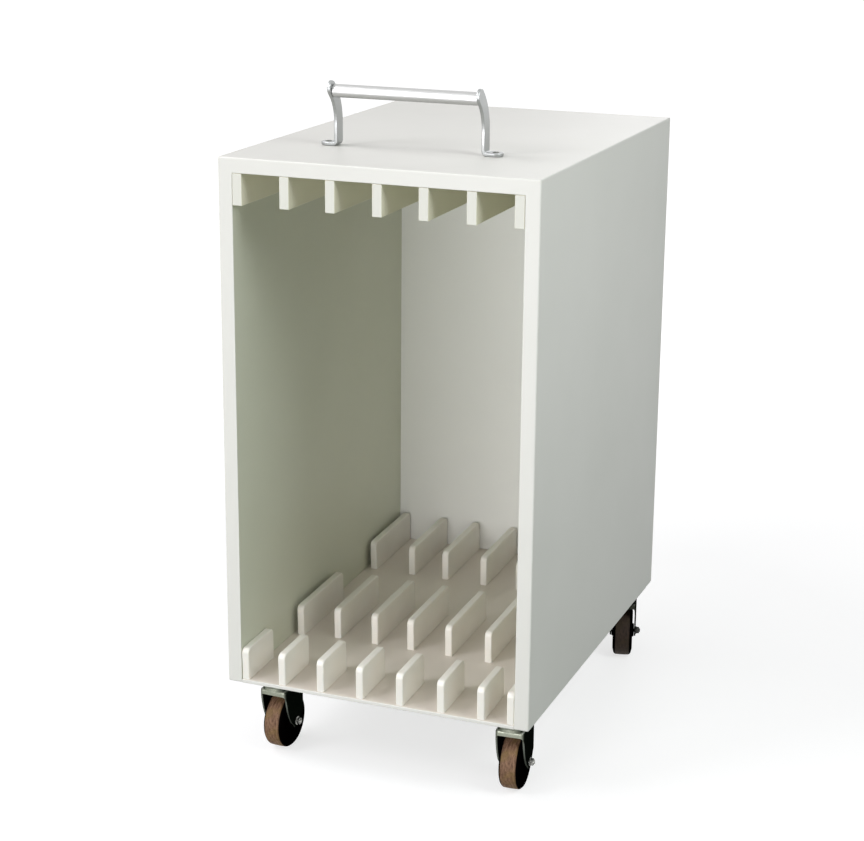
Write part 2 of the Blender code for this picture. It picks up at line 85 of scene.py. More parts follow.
def add_node(tree, kind, inputs=None, **settings):
    """Add a node. Each of inputs is a value for a socket, or another node's output to link to it."""
    node = tree.nodes.new(kind)
    for name, value in settings.items():
        setattr(node, name, value)
    for key, value in (inputs or {}).items():
        if isinstance(value, bpy.types.NodeSocket):
            tree.links.new(value, node.inputs[key])
        else:
            node.inputs[key].default_value = value
    return node


def mixed(tree, share, first, second):
    """Two colours mixed by a share. Each is a hex value or another node's output."""
    first, second = (linear(end) if isinstance(end, str) else end for end in (first, second))
    return add_node(tree, "ShaderNodeMix", {0: share, 6: first, 7: second}, data_type="RGBA").outputs[2]


def noise(tree, place, size, detail, **others):
    """A soft random pattern with blobs of about this size."""
    inputs = {"Vector": place, "Scale": 1 / size, "Detail": detail, **others}
    return add_node(tree, "ShaderNodeTexNoise", inputs).outputs[0]


def remapped(tree, value, out_of=(0.0, 1.0), into=(0.0, 1.0)):
    """A value stretched from one range into another and kept inside it."""
    return add_node(tree, "ShaderNodeMapRange", dict(enumerate((value, *out_of, *into)))).outputs[0]


def maths(tree, operation, *values):
    """One sum on values or other nodes' outputs."""
    return add_node(tree, "ShaderNodeMath", dict(enumerate(values)), operation=operation).outputs[0]


def normal_parts(tree):
    """The X, Y and Z of the piece's own normal, which tell which way a face looks."""
    normal = add_node(tree, "ShaderNodeTexCoord").outputs["Normal"]
    return add_node(tree, "ShaderNodeSeparateXYZ", {0: normal}).outputs


def seen_directly(tree):
    """1 for what the camera sees, also by reflection or through glass, and 0 for bounced light."""
    path = add_node(tree, "ShaderNodeLightPath").outputs
    seen = maths(tree, "MAXIMUM", path["Is Camera Ray"], path["Is Glossy Ray"])
    return maths(tree, "MAXIMUM", seen, path["Is Transmission Ray"])


# %% [markdown]
# ## Floor and light
# The trolley stands in a white studio. The floor is white to the camera and to reflections, and still takes
# the trolley's soft shadow. To bounced light it is a mid grey-green, as a plain workshop floor would be,
# which is what shades the lower part of the side panel.

# %% Floor
FLOOR_HALF_SIDE = 30
GLOW_RADII, GLOW_STRENGTHS = (0.7, 2.5), (0.7, 1.0)
QUARTERS = ((-1, -1), (1, -1), (1, 1), (-1, 1))
studio = bpy.data.materials.new("studio_floor")
studio.use_nodes = True
tree = studio.node_tree
tree.nodes.clear()
bounce = add_node(tree, "ShaderNodeBsdfDiffuse", {"Color": linear("#6C7C70")})
shadowed = add_node(tree, "ShaderNodeBsdfDiffuse", {"Color": linear("#AEAEAE")})
here = add_node(tree, "ShaderNodeTexCoord").outputs["Object"]
from_middle = add_node(tree, "ShaderNodeVectorMath", {0: here}, operation="LENGTH").outputs["Value"]
glow = remapped(tree, from_middle, GLOW_RADII, GLOW_STRENGTHS)
white = add_node(tree, "ShaderNodeEmission", {"Color": linear("#FFFFFF"), "Strength": glow})
shown = add_node(tree, "ShaderNodeAddShader", {0: shadowed.outputs[0], 1: white.outputs[0]})
parts = {0: seen_directly(tree), 1: bounce.outputs[0], 2: shown.outputs[0]}
floor_mix = add_node(tree, "ShaderNodeMixShader", parts)
add_node(tree, "ShaderNodeOutputMaterial", {"Surface": floor_mix.outputs[0]})

floor_mesh = bpy.data.meshes.new("studio_floor")
corners = [(x * FLOOR_HALF_SIDE, y * FLOOR_HALF_SIDE, 0) for x, y in QUARTERS]
floor_mesh.from_pydata(corners, [], [(0, 1, 2, 3)])
floor_mesh.materials.append(studio)
studio_floor = bpy.data.objects.new("studio_floor", floor_mesh)
bpy.context.scene.collection.objects.link(studio_floor)
print("studio floor:", 2 * FLOOR_HALF_SIDE, "m square")

# %% [markdown]
# The room's own light is even and dim. Four lamps at the left and the front do most of the lighting. A
# weaker one fills from the right, so the right side falls off gently downwards, and one behind lights the
# back.

# %% World and lamps
ROOM_STRENGTH = 0.2
world = bpy.data.worlds.new("studio")
world.use_nodes = True
bpy.context.scene.world = world
tree = world.node_tree
tree.nodes.clear()
room = add_node(tree, "ShaderNodeBackground", {"Color": linear("#FFFFFF"), "Strength": ROOM_STRENGTH})
backdrop = add_node(tree, "ShaderNodeBackground", {"Color": linear("#FFFFFF"), "Strength": 1.0})
parts = {0: seen_directly(tree), 1: room.outputs[0], 2: backdrop.outputs[0]}
world_mix = add_node(tree, "ShaderNodeMixShader", parts)
add_node(tree, "ShaderNodeOutputWorld", {"Surface": world_mix.outputs[0]})

LAMP_AIM = Vector((0, 0, 0.45))
LAMPS = {
    "high_left_lamp": ((-2.19, -0.59, 2.71), 1.6, 36, "#FCFBFF"),
    "left_lamp": ((-1.60, -2.05, 2.25), 1.0, 30, "#FCFBFF"),
    "front_lamp": ((-0.66, -3.12, 0.72), 1.0, 25, "#FCFBFF"),
    "low_front_lamp": ((0.10, -2.25, 0.24), 0.6, 12, "#FCFBFF"),
    "near_right_lamp": ((1.41, -0.58, 1.53), 0.8, 14.4, "#F4FAFA"),
    "back_lamp": ((0.0, 2.77, 2.05), 1.6, 12, "#FCFCFF"),
}
for name, (place, size, watts, colour) in LAMPS.items():
    lamp = bpy.data.lights.new(name, "AREA")
    lamp.size = size
    lamp.energy = watts
    lamp.color = linear(colour)[:3]
    holder = bpy.data.objects.new(name, lamp)
    holder.location = place
    holder.rotation_euler = (LAMP_AIM - holder.location).to_track_quat("-Z", "Y").to_euler()
    holder.visible_camera = False
    bpy.context.scene.collection.objects.link(holder)
    print(name, watts, "W")

# %% [markdown]
# ## Finishes
# Every finish starts with the shader of a new material and where its pattern is measured from. A pattern is
# measured on the piece itself, in metres, so one over its real size is its scale. It ends with its colour,
# roughness and relief being wired to that shader.

# %% Start and end of a finish
def new_finish(name, **settings):
    """A material, its node tree, its shader and the piece's own coordinates. Settings are shader sockets."""
    finish = bpy.data.materials.new(name)
    finish.use_nodes = True
    shader = finish.node_tree.nodes["Principled BSDF"]
    for socket, value in settings.items():
        shader.inputs[socket.replace("_", " ")].default_value = value
    place = add_node(finish.node_tree, "ShaderNodeTexCoord").outputs["Object"]
    return finish, finish.node_tree, shader, place


def wire(shader, colour, roughness, height=None, strength=0.0, depth=0.0):
    """Link colour and roughness to the shader, and a bump where a height is given."""
    tree = shader.id_data
    tree.links.new(colour, shader.inputs["Base Color"])
    tree.links.new(roughness, shader.inputs["Roughness"])
    if height:
        relief = {"Height": height, "Strength": strength, "Distance": depth}
        tree.links.new(add_node(tree, "ShaderNodeBump", relief).outputs[0], shader.inputs["Normal"])


def retoned(finish, name, tone, colours):
    """A copy of a finish in which the two ends of one mix have other colours."""
    copy = finish.copy()
    copy.name = name
    sockets = copy.node_tree.nodes[tone.node.name].inputs
    sockets[6].default_value, sockets[7].default_value = map(linear, colours)
    return copy


# %% [markdown]
# ### Satin lacquer on board
# The cabinet looks like medium-density fibreboard, sprayed with a warm white lacquer. Spraying leaves a
# faint orange peel, about 2 mm from bump to bump, and a tone that drifts a little from place to place. The
# inner faces have darker, greener tones of their own, which are painted shade for the dimmer light inside
# the box. The boards are drawn in the trolley's own place, so a point between the side boards' inner faces,
# under the top and behind the front edges is inside.

# %% White lacquer
ORANGE_PEEL, LACQUER_DRIFT, SKIN = 2.0 * MM, 0.14, 0.2 * MM
INNER_HALF_WIDTH, CABINET_FRONT = -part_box("left_side_panel")[1].x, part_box("left_side_panel")[0].y
TOP_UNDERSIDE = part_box("top_panel")[0].z
lacquer, tree, shader, place = new_finish("sprayed_lacquer_on_mdf", IOR=1.49)
drift = noise(tree, place, LACQUER_DRIFT, 3.0)
tone = mixed(tree, drift, "#E6E4DE", "#E0DFD8")
point = add_node(tree, "ShaderNodeSeparateXYZ", {0: place}).outputs
off_middle = maths(tree, "ABSOLUTE", point["X"])
between = maths(tree, "LESS_THAN", off_middle, INNER_HALF_WIDTH + SKIN)
below = maths(tree, "LESS_THAN", point["Z"], TOP_UNDERSIDE + SKIN)
behind = maths(tree, "GREATER_THAN", point["Y"], CABINET_FRONT + MM)
inside = maths(tree, "MULTIPLY", maths(tree, "MULTIPLY", between, below), behind)
# Painted shade: inside the box the lacquer is darker and greener, for the dimmer light there.
painted_inside_tone = mixed(tree, drift, "#D9DBCA", "#D3D5C3")
coat_with_painted_inside = mixed(tree, inside, tone, painted_inside_tone)
gloss = remapped(tree, drift, into=(0.36, 0.46))
wire(shader, coat_with_painted_inside, gloss, noise(tree, place, ORANGE_PEEL, 1.0), 0.25, 0.02 * MM)

# %% [markdown]
# The floor board and the back board are the same lacquer with two other tones inside, fitted to the
# photograph: a soft beige on the floor and a fuller white on the back. Both are painted light, lighter than
# the lacquer outside, for the light that falls on them.

# %% Lacquer on the floor and back boards
# Lighter tones inside the floor and back boards: painted light.
floor_lacquer = retoned(lacquer, "lacquer_with_painted_light_on_floor", painted_inside_tone, ("#ECE4DB", "#E5DCD0"))
back_lacquer = retoned(lacquer, "lacquer_with_painted_light_on_back", painted_inside_tone, ("#F3F3EE", "#EDEDE8"))

# %% [markdown]
# ### Painted rails
# The rails under the top are strips of board, sawn and brushed with white paint. The brush ran along each
# strip, so its marks are fine lines about 0.8 mm apart that stretch far along the depth. The sawn ends look
# a little darker.

# %% White paint on the rails
BRUSH_MARK, PAINT_DRIFT = 0.8 * MM, 0.05
rail_paint, tree, shader, place = new_finish("brushed_paint_on_board", IOR=1.49)
stretch = add_node(tree, "ShaderNodeMapping", {"Vector": place, "Scale": (1, 0.03, 1)})
marks = noise(tree, stretch.outputs[0], BRUSH_MARK, 2.0)
drift = noise(tree, place, PAINT_DRIFT, 2.0)
long_side = mixed(tree, drift, "#F8F3DF", "#F1ECD6")
end_on = maths(tree, "ABSOLUTE", normal_parts(tree)["Y"])
end_grain = remapped(tree, end_on, (0.6, 0.9))
tone = mixed(tree, end_grain, long_side, "#DDDCD2")
wire(shader, tone, remapped(tree, marks, into=(0.42, 0.58)), marks, 0.3, 0.03 * MM)

# %% [markdown]
# ### Moulded fins
# The fins on the floor are a milky cream plastic such as polyethylene. A little light goes in and comes out
# again beside where it entered, which softens their edges, and the mould left a fine matt grain.

# %% Cream plastic
MOULD_GRAIN, CREAM_DRIFT, LIGHT_DEPTH = 1.2 * MM, 0.03, 2 * MM
cream, tree, shader, place = new_finish(
    "moulded_polyethylene", IOR=1.51,
    Subsurface_Weight=0.15, Subsurface_Radius=(1, 0.85, 0.7), Subsurface_Scale=LIGHT_DEPTH,
)
drift = noise(tree, place, CREAM_DRIFT, 3.0)
tone = mixed(tree, drift, "#F7F4EC", "#F1ECE2")
gloss = remapped(tree, drift, into=(0.40, 0.55))
wire(shader, tone, gloss, noise(tree, place, MOULD_GRAIN, 2.0), 0.3, 0.03 * MM)

# %% [markdown]
# ### Three metals
# The handle is steel, satin chromed, with fine lines from linishing before it was plated. The tube has a
# brighter copy of the same chrome, a painted reflection for the brighter light the round tube catches.

# %% Chrome
LINISHED_LINE, LINISHED_RUN = 0.6 * MM, 30 * MM
chrome, tree, shader, place = new_finish("satin_chromed_steel", Metallic=1.0)
scale = (1 / LINISHED_RUN, 1 / LINISHED_LINE, 1 / LINISHED_RUN)
stretch = add_node(tree, "ShaderNodeMapping", {"Vector": place, "Scale": scale})
lines = noise(tree, stretch.outputs[0], 1.0, 3.0)
tone = mixed(tree, lines, "#A2A5A5", "#B8BAB9")
wire(shader, tone, remapped(tree, lines, into=(0.24, 0.38)), lines, 0.2, 0.02 * MM)
# Painted reflection: the tube's chrome is a brighter copy of the bars' chrome.
tube_chrome_with_painted_reflection = retoned(chrome, "satin_chrome_with_painted_reflection", tone, ("#BEBFBE", "#D0D0CF"))

# %% [markdown]
# The forks are pressed sheet, zinc plated, with a dull grey-green film and a speckle of crystals. Their tone
# follows which way each face looks, as painted light and shade: nearly black on the arms' flat sides,
# lighter on the front wall and the sheared edges, a little darker low on the arms, and palest over the
# crown's bend, a painted highlight. Nuts and bolts are zinc plated bright. All three are full metals: only
# the tint, the roughness and the pattern differ.

# %% Dull and bright zinc
ZINC_CRYSTAL, FILM_SIZE, BRIGHT_FILM_SIZE = 1.6 * MM, 0.012, 0.003
LOWER_EDGES = (-32 * MM, -27 * MM)
zinc, tree, shader, place = new_finish(
    "dull_zinc_plated_steel", Metallic=1.0, Specular_Tint=linear("#3A3E3A")
)
crystals = add_node(tree, "ShaderNodeTexVoronoi", {"Vector": place, "Scale": 1 / ZINC_CRYSTAL})
film = noise(tree, place, FILM_SIZE, 4.0).node.outputs[1]
film_speckle = remapped(tree, mixed(tree, 0.35, film, crystals.outputs["Color"]), (0.25, 0.75))
# Painted light and shade by direction: dark arm sides, lighter front wall, a little darker low down, palest
# crown bend.
painted_front_light_tone = mixed(tree, film_speckle, "#7D8274", "#999C8E")
painted_arm_shade_tone = mixed(tree, film_speckle, "#10140F", "#262C26")
facing = normal_parts(tree)
height = add_node(tree, "ShaderNodeSeparateXYZ", {0: place}).outputs["Z"]
front = mixed(tree, remapped(tree, height, LOWER_EDGES), "#6C7169", painted_front_light_tone)
bend_painted_highlight = mixed(tree, remapped(tree, facing["Z"], (0.55, 0.8)), front, "#E2E4DC")
painted_shade_on_arms = remapped(tree, maths(tree, "ABSOLUTE", facing["X"]), (0.35, 0.9))
tone = mixed(tree, painted_shade_on_arms, bend_painted_highlight, painted_arm_shade_tone)
wire(shader, tone, remapped(tree, film_speckle, into=(0.52, 0.36)), film_speckle, 0.3, 0.03 * MM)

bright_zinc, tree, shader, place = new_finish(
    "bright_zinc_plated_steel", Metallic=1.0, Specular_Tint=linear("#6A6C6A")
)
film = noise(tree, place, BRIGHT_FILM_SIZE, 3.0)
wire(shader, mixed(tree, film, "#9C9D98", "#C0C0BB"), remapped(tree, film, into=(0.18, 0.34)))

# %% [markdown]
# ### Wheel resin
# The wheels look like phenolic resin, moulded hot round shreds of cotton cloth. The tread is mottled brown,
# drawn out round the wheel, and the sides are near-black. Only what comes nearest to the floor is brown, so
# the distance from the axle tells the two apart.

# %% Phenolic wheel
CLOTH_SHRED, SHRED_THICKNESS, FIBRE, PATCH = 9 * MM, 2.2 * MM, 1.4 * MM, 0.016
TREAD_FROM, TREAD_FULLY = 35.1 * MM, 35.6 * MM
phenolic, tree, shader, place = new_finish("cloth_filled_phenolic", IOR=1.6)
scale = (1 / CLOTH_SHRED, 1 / CLOTH_SHRED, 1 / SHRED_THICKNESS)
stretch = add_node(tree, "ShaderNodeMapping", {"Vector": place, "Scale": scale})
shreds = noise(tree, stretch.outputs[0], 1.0, 5.0, Roughness=0.65)
fibres = noise(tree, place, FIBRE, 3.0)
patches = noise(tree, place, PATCH, 2.0)
brown = mixed(tree, remapped(tree, shreds, (0.34, 0.66)), "#553A29", "#99765C")
ochre = mixed(tree, remapped(tree, patches, (0.45, 0.65), (0, 0.6)), brown, "#7E6634")
flecked = mixed(tree, remapped(tree, fibres, (0.55, 0.75), (0, 0.7)), ochre, "#3E2A20")
across = add_node(tree, "ShaderNodeMapping", {"Vector": place, "Scale": (1, 1, 0)})
reach = add_node(tree, "ShaderNodeVectorMath", {0: across.outputs[0]}, operation="LENGTH")
on_tread = remapped(tree, reach.outputs["Value"], (TREAD_FROM, TREAD_FULLY))
tree.links.new(remapped(tree, on_tread, into=(0.0, 0.25)), shader.inputs["Specular IOR Level"])
tone = mixed(tree, on_tread, "#060404", flecked)
wire(shader, tone, remapped(tree, on_tread, into=(0.6, 0.7)), shreds, 0.5, 0.15 * MM)

# %% [markdown]
# ### Rear casters
# Both rear casters are darkened as painted shade, for the shade they stand in under the back of the
# cabinet. Each of their finishes is a copy that keeps only a share of the light that the front casters' one
# gives back.

# %% Painted shade on the rear casters
PAINTED_SHADE_SHARES = ((zinc, 0.12), (bright_zinc, 0.14), (phenolic, 0.15))


def painted_shade_copy(finish, share):
    """A copy of a finish whose colours are darkened to this share of their light, as painted shade."""
    copy = finish.copy()
    copy.name = f"painted_shade_{finish.name}"
    for node in copy.node_tree.nodes:
        if node.type == "MIX":
            for socket in (node.inputs[6], node.inputs[7]):
                socket.default_value = [*(part * share for part in socket.default_value[:3]), 1.0]
    return copy


PAINTED_SHADE_COPIES = {finish: painted_shade_copy(finish, share) for finish, share in PAINTED_SHADE_SHARES}
BOARD_FINISHES = (lacquer, floor_lacquer, back_lacquer, rail_paint, cream)
FINISHES = (*BOARD_FINISHES, chrome, tube_chrome_with_painted_reflection, zinc, bright_zinc, phenolic, *PAINTED_SHADE_COPIES.values())
print("finishes:", [finish.name for finish in FINISHES])

# %% [markdown]
# ## Mesh helpers
# Every piece is made with bmesh, Blender's editable mesh. A finished mesh becomes a piece by one function,
# which gives it its finish, ties it to its CAD body and hides the CAD solid it stands for. Boards, rails
# and fins get shading normals of their own, so that their flat faces look flat right up to the rounded
# edges, and on every other piece the broad faces lead the shading. A mesh that several pieces share is
# copied where one of them has another finish.

# %% From a shape to a piece
SMOOTH_BELOW, FLAT_ABOVE, SAME_SIDE = math.radians(32), 0.999, 0.5
WELD = 0.002 * MM


def mesh_of(shape, name):
    """The bmesh as a mesh, welded and with its faces turned outwards."""
    bmesh.ops.remove_doubles(shape, verts=shape.verts, dist=WELD)
    bmesh.ops.recalc_face_normals(shape, faces=shape.faces)
    mesh = bpy.data.meshes.new(name)
    shape.to_mesh(mesh)
    shape.free()
    return mesh


def keep_flats_flat(mesh):
    """Shade flat faces as flat, right up to the rounded edges beside them."""
    normals = [corner.vector.copy() for corner in mesh.corner_normals]
    flats = {}
    for face in mesh.polygons:
        if max(abs(part) for part in face.normal) > FLAT_ABOVE:
            for vertex in face.vertices:
                flats.setdefault(vertex, []).append(face.normal.copy())
    for face in mesh.polygons:
        for corner, vertex in zip(face.loop_indices, face.vertices):
            near = [normal for normal in flats.get(vertex, ()) if normal.dot(face.normal) > SAME_SIDE]
            if near:
                normals[corner] = max(near, key=face.normal.dot)
    mesh.normals_split_custom_set(normals)


def add_piece(name, mesh, finish, body, stands_for=(), place=Matrix()):
    """Put a mesh in the scene as one named piece that rides on a CAD body."""
    if not mesh.materials:
        mesh.materials.append(finish)
        mesh.shade_smooth()
        mesh.set_sharp_from_angle(angle=SMOOTH_BELOW)
        if finish in BOARD_FINISHES:
            keep_flats_flat(mesh)
    elif mesh.materials[0] != finish:
        mesh = mesh.copy()
        mesh.materials[0] = finish
    piece = bpy.data.objects.new(name, mesh)
    bpy.context.scene.collection.objects.link(piece)
    piece.matrix_world = place
    if not mesh.has_custom_normals:
        piece.modifiers.new("broad faces lead", "WEIGHTED_NORMAL").keep_sharp = True
    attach(piece, body)
    if stands_for:
        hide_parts(*stands_for)
    return piece


# %% [markdown]
# Outlines are drawn with sharp corners and a radius for each, as on a drawing. This function rounds them.

# %% Rounded outlines
def arc(centre, radius, start, end, steps):
    """Points on an arc from one angle to another."""
    turns = [start + (end - start) * i / steps for i in range(steps + 1)]
    return [(centre[0] + radius * math.cos(t), centre[1] + radius * math.sin(t)) for t in turns]


def rounded(corners, steps=5, closed=True):
    """An outline through (x, y, radius) corners, each rounded with that many steps."""
    points = []
    count = len(corners)
    for i, (x, y, radius) in enumerate(corners):
        if not radius or (not closed and i in (0, count - 1)):
            points.append((x, y))
            continue
        here = Vector((x, y))
        back = (Vector(corners[i - 1][:2]) - here).normalized()
        ahead = (Vector(corners[(i + 1) % count][:2]) - here).normalized()
        half_angle = back.angle(ahead) / 2
        middle = here + (back + ahead).normalized() * radius / math.sin(half_angle)
        first = here + back * radius / math.tan(half_angle) - middle
        last = here + ahead * radius / math.tan(half_angle) - middle
        start = math.atan2(first.y, first.x)
        sweep = (math.atan2(last.y, last.x) - start + math.pi) % math.tau - math.pi
        points += arc(middle, radius, start, start + sweep, steps)
    return points


# %% [markdown]
# Three ways of making a solid cover almost everything: a board between two corners, a slab cut to an
# outline, and a profile turned on a lathe.

# %% Boards, slabs and turned shapes
def board_shape(low, high):
    """A bmesh box between two corners."""
    shape = bmesh.new()
    bmesh.ops.create_cube(shape, size=1)
    for vertex in shape.verts:
        vertex.co = [(a + b) / 2 + c * (b - a) for a, b, c in zip(low, high, vertex.co)]
    return shape


def ease(shape, radius, is_eased, segments=3):
    """Round the edges of a bmesh whose two ends pass the test."""
    edges = [edge for edge in shape.edges if is_eased(edge.verts[0].co, edge.verts[1].co)]
    bmesh.ops.bevel(shape, geom=edges, offset=radius, segments=segments, profile=0.5, affect="EDGES")


def slab_mesh(name, outline, thickness, edge_radius, is_eased=lambda a, b: True):
    """A slab in the XY plane, from Z = 0 up, with its rims rounded where the test passes."""
    shape = bmesh.new()
    bottom = [shape.verts.new((x, y, 0)) for x, y in outline]
    top = [shape.verts.new((x, y, thickness)) for x, y in outline]
    shape.faces.new(bottom)
    shape.faces.new(top)
    for i in range(len(outline)):
        shape.faces.new((bottom[i - 1], bottom[i], top[i], top[i - 1]))
    bmesh.ops.recalc_face_normals(shape, faces=shape.faces)
    if edge_radius:
        ease(shape, edge_radius, lambda a, b: a.z == b.z and is_eased(a, b))
    return mesh_of(shape, name)


def turned_mesh(name, profile, steps=72, closed=False):
    """A profile of (radius, height) points turned about Z."""
    shape = bmesh.new()
    points = [shape.verts.new((radius, 0, height)) for radius, height in profile]
    edges = [shape.edges.new(pair) for pair in zip(points, points[1:])]
    if closed:
        edges.append(shape.edges.new((points[-1], points[0])))
    bmesh.ops.spin(shape, geom=points + edges, cent=(0, 0, 0), axis=(0, 0, 1), angle=math.tau, steps=steps)
    return mesh_of(shape, name)


# %% [markdown]
# ## The cabinet's boards
# Real boards like these are glued, filled and sprayed as one carcass, so no joint shows. Each board is
# still a piece of its own here, and they meet exactly. The outer edges are rounded by 2.2 mm, and the rim
# of the opening only breaks its edge, which gives the thin light line round the inside of the front.

# %% Boards
OUTER_EDGE, RIM_EDGE, CLOSE = 2.2 * MM, 0.8 * MM, 0.01 * MM
left_low, left_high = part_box("left_side_panel")
right_low, right_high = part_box("right_side_panel")
top_low, top_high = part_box("top_panel")
back_low, back_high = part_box("back_panel")
floor_low, floor_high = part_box("floor_panel")
FLOOR_FRONT = 4.7 * MM
outer_planes = list(enumerate(zip(left_low, right_high)))


def on_outer_edge(a, b):
    """True for an edge that lies on two of the cabinet's outer faces."""
    planes = [(axis, side) for axis, sides in outer_planes for side in sides]
    return sum(max(abs(a[axis] - side), abs(b[axis] - side)) < CLOSE for axis, side in planes) > 1


def cabinet_board(name, low, high, is_rim, cuts=(), finish=lacquer):
    """One board of the carcass. Cuts are heights where its faces are split, so that the rim can end there."""
    shape = board_shape(low, high)
    for height in cuts:
        everything = shape.verts[:] + shape.edges[:] + shape.faces[:]
        bmesh.ops.bisect_plane(shape, geom=everything, plane_co=(0, 0, height), plane_no=(0, 0, 1))
    ease(shape, OUTER_EDGE, on_outer_edge, segments=5)
    ease(shape, RIM_EDGE, is_rim)
    mesh = mesh_of(shape, name)
    node = name.replace("board", "panel")
    return add_piece(name, mesh, finish, "cabinet", [node])


front = left_low.y
opening_floor, opening_top = floor_low.z + FLOOR_FRONT, top_low.z
for name, low, high, inner in (
    ("left_side_board", left_low, left_high, left_high.x),
    ("right_side_board", right_low, right_high, right_low.x),
):
    def is_rim(a, b, inner=inner):
        on_front = all(max(abs(end.y - front), abs(end.x - inner)) < CLOSE for end in (a, b))
        lowest, highest = min(a.z, b.z), max(a.z, b.z)
        return on_front and lowest > opening_floor + RIM_EDGE / 2 and highest < opening_top - RIM_EDGE / 2

    cuts = (opening_floor, opening_floor + RIM_EDGE, opening_top - RIM_EDGE, opening_top)
    cabinet_board(name, low, high, is_rim, cuts)

top_low.x, top_high.x = left_high.x, right_low.x
cabinet_board(
    "top_board", top_low, top_high,
    lambda a, b: max(a.y, b.y) < front + CLOSE and max(a.z, b.z) < top_low.z + CLOSE,
)
back_low.x, back_high.x, back_high.z = left_high.x, right_low.x, top_low.z
cabinet_board("back_board", back_low, back_high, lambda a, b: False, finish=back_lacquer)
print("boards:", ", ".join(f"{v / MM:.1f}" for v in right_high - left_low), "mm over all")

# %% [markdown]
# The floor is one wedge: 4.7 mm thick at the front, where only its edge shows, and about 20 mm at the back.
# Its front edge is just broken, as by sandpaper.

# %% Floor board
shape = board_shape(floor_low, (floor_high.x, floor_high.y, opening_floor))
for vertex in shape.verts:
    if vertex.co.y > 0 and vertex.co.z > opening_floor - MM:
        vertex.co.z = floor_high.z
ease(shape, RIM_EDGE, lambda a, b: max(a.y, b.y) < front + MM and abs(a.z - b.z) < MM)
floor_board = mesh_of(shape, "floor_board")
add_piece("floor_board", floor_board, floor_lacquer, "cabinet", ["floor_panel"])
slope = math.atan((floor_high.z - opening_floor) / (floor_high.y - floor_low.y))
print("floor rises", round(math.degrees(slope), 2), "degrees to the back")

# %% [markdown]
# ## Rails
# Seven strips hang edge down under the top, from the front to the back wall. They are plain sawn strips,
# and all their edges are just taken off, so each is a board with 0.7 mm rounded edges.

# %% Rails
RAIL_EDGE = 0.7 * MM
rail_nodes = sorted(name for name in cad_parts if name.startswith("top_rail"))
for node in rail_nodes:
    shape = board_shape(*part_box(node))
    ease(shape, RAIL_EDGE, lambda a, b: True)
    name = node.replace("top_rail", "rail")
    add_piece(name, mesh_of(shape, name), rail_paint, "cabinet", [node])
print("rails:", len(rail_nodes))

# %% [markdown]
# ## Fins
# Three rows of fins stand on the sloping floor and keep the frames apart. Each is a slab with its two top
# corners rounded by 7 mm and a soft 2 mm edge all round, except where it stands on the floor. The lowest
# corner of the CAD fin is its foot at the front, which is where the new one is set down, tilted with the
# floor.

# %% Fins
FIN_HEIGHT, FIN_THICKNESS, FIN_CORNER, FIN_EDGE = 41.5 * MM, 9.8 * MM, 7 * MM, 2.0 * MM
FIN_LENGTHS = {"front": 72 * MM, "middle": 130 * MM, "back": 129 * MM}
stand_up = Matrix.Rotation(math.pi / 2, 4, "Z") @ Matrix.Rotation(math.pi / 2, 4, "X")
count = 0
for row, length in FIN_LENGTHS.items():
    corners = [(0, 0, 0), (length, 0, 0), (length, FIN_HEIGHT, FIN_CORNER), (0, FIN_HEIGHT, FIN_CORNER)]
    outline = rounded(corners, steps=8)
    fin = slab_mesh(f"fin_{row}", outline, FIN_THICKNESS, FIN_EDGE, lambda a, b: a.y + b.y > 0)
    fin.transform(stand_up @ Matrix.Translation((0, 0, -FIN_THICKNESS / 2)))
    for node in sorted(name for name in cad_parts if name.startswith(f"divider_{row}")):
        low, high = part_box(node)
        foot = min(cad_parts[node].data.vertices, key=lambda vertex: vertex.co.z).co
        place = Matrix.Translation(((low.x + high.x) / 2, foot.y, foot.z)) @ Matrix.Rotation(slope, 4, "X")
        add_piece(node.replace("divider", "fin"), fin, cream, "cabinet", [node], place)
        count += 1
print("fins:", count)

# %% [markdown]
# ## Handle
# Each bracket is one flat bar: a foot screwed to the top, a tight bend, then the upright, which curves
# forward in its own plane and ends round past the tube. It is built as a ring of points, carried along
# stations. Both round ends come from turning the ring's sides about the end's centre, so the rounded edges
# go round them too.

# %% Bracket maker
def strip_mesh(name, stations, half_width, half_thickness, edge):
    """A flat bar with rounded edges, run through stations of (centre, forward, across, end angle)."""
    bends = [math.pi / 2 * i / 3 for i in range(4)]
    side = [(edge * (1 - math.cos(b)), half_thickness - edge * (1 - math.sin(b))) for b in bends]
    side = [(inset, -height) for inset, height in reversed(side)] + side
    shape = bmesh.new()
    rings = []
    for centre, forward, across, turn in stations:
        through = forward.cross(across)
        ring = []
        for sign, heights in ((1, side), (-1, side[::-1])):
            for inset, height in heights:
                reach = half_width - inset
                out = across * sign * math.cos(turn) + forward * math.sin(turn)
                ring.append(shape.verts.new(centre + out * reach + through * height))
        rings.append(ring)
    for first, second in zip(rings, rings[1:]):
        for i in range(len(first)):
            shape.faces.new((first[i - 1], first[i], second[i], second[i - 1]))
    bmesh.ops.dissolve_degenerate(shape, dist=0.001 * MM, edges=shape.edges)
    return mesh_of(shape, name)


# %% Handle brackets
BAR_WIDTH, BAR_THICKNESS, BAR_EDGE = 18 * MM, 4.2 * MM, 0.9 * MM
FOOT_REACH, STRAIGHT, TUBE_UP, TUBE_AHEAD, TIP = 22.1 * MM, 28 * MM, 68 * MM, 17 * MM, 5 * MM
BEND_INSIDE, BAR_TO_TUBE = 1.4 * MM, 0.3 * MM
BEND_RADIUS = BAR_THICKNESS / 2 + BEND_INSIDE
END_STEPS, BEND_STEPS, CURVE_STEPS = 8, 6, 10
rise = TUBE_UP - STRAIGHT
curve_radius = (TUBE_AHEAD**2 + rise**2) / (2 * TUBE_AHEAD)
lean = math.asin(rise / curve_radius)
BACK, UP = Vector((0, 1, 0)), Vector((0, 0, 1))


